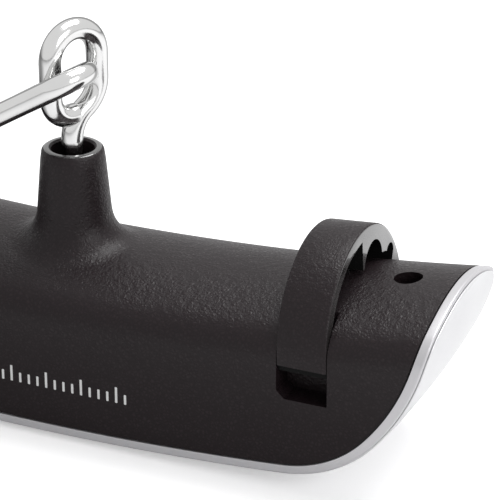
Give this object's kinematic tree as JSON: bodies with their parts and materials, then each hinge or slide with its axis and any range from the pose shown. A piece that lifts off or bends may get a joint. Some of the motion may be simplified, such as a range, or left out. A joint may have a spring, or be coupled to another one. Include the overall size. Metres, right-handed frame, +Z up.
{
  "type": "luggage scale",
  "caption": "Hand-held digital luggage scale with a bent body, a display face, a tapered neck and a swivelling wire hook parked on its back.",
  "frame": {"origin": "middle of the body's length and width, at the lowest point of the display face it lies on", "axes": "+X along the body towards the hook bridge, +Y across the body, +Z up through the neck to the hook"},
  "size_m": [0.1652, 0.0398, 0.08],
  "materials": {
    "shell_plastic": "moulded leather grain, charcoal",
    "cover_silver": "satin silver paint",
    "fascia_silver": "pale satin silver",
    "gasket_rubber": "matt",
    "bush_nylon": "matt nylon",
    "screw_steel": "zinc plated",
    "wire_chrome": "bright chrome plate",
    "cell_aluminium": "machined",
    "gauge_film": "amber film",
    "window_glass": "clear",
    "lcd_glass": "grey green display glass",
    "frame_white": "moulded",
    "board_green": "solder mask",
    "chip_black": "moulded",
    "button_grey": "satin",
    "coin_steel": "bright",
    "contact_brass": "spring strip"
  },
  "bodies": {
    "housing": {"back_shell": "shell_plastic", "hook_bridge": "shell_plastic", "front_cover": "cover_silver", "face_plate": "fascia_silver", "seam_gasket": "gasket_rubber", "neck_bush": "bush_nylon", "housing_screws": "screw_steel", "load_cell": "cell_aluminium", "load_cell_screws": "screw_steel", "strain_gauges": "gauge_film", "gauge_lead": "gauge_film", "display_window": "window_glass", "display_cell": "lcd_glass", "display_frame": "frame_white", "display_connectors": "gasket_rubber", "circuit_board": "board_green", "board_screws": "screw_steel", "controller_chip": "chip_black", "push_switches": "chip_black", "coin_cell": "coin_steel", "battery_holder": "chip_black", "negative_contact": "contact_brass", "positive_contact": "contact_brass"},
    "shank": {"shank_eye": "wire_chrome", "shank_washer": "screw_steel", "shank_nut": "screw_steel"},
    "hook": {"hook": "wire_chrome"},
    "unit_button": {"unit_button": "button_grey"},
    "power_button": {"power_button": "button_grey"},
    "battery_cap": {"battery_cap": "cover_silver"}
  },
  "joints": [
    {"name": "hook_swivel", "type": "hinge", "parent": "housing", "child": "shank", "pos_m": [0, 0, 0.045], "axis": [0, 0, 1], "continuous": true},
    {"name": "hook_swing", "type": "hinge", "parent": "shank", "child": "hook", "pos_m": [-0.00198, -0.00446, 0.0669], "axis": [0.0477, 0.9957, -0.0791], "range_deg": [0, 50]},
    {"name": "unit_press", "type": "slide", "parent": "housing", "child": "unit_button", "axis": [-0.0444, 0, 0.999], "range_m": [0, 0.0005], "stiffness_N_per_m": 1500},
    {"name": "power_press", "type": "slide", "parent": "housing", "child": "power_button", "axis": [-0.0613, 0, 0.9981], "range_m": [0, 0.0005], "stiffness_N_per_m": 1500},
    {"name": "battery_cap_turn", "type": "hinge", "parent": "housing", "child": "battery_cap", "pos_m": [-0.03766, 0, 0.00164], "axis": [0.0605, 0, 0.9982], "range_deg": [0, 60]}
  ]
}
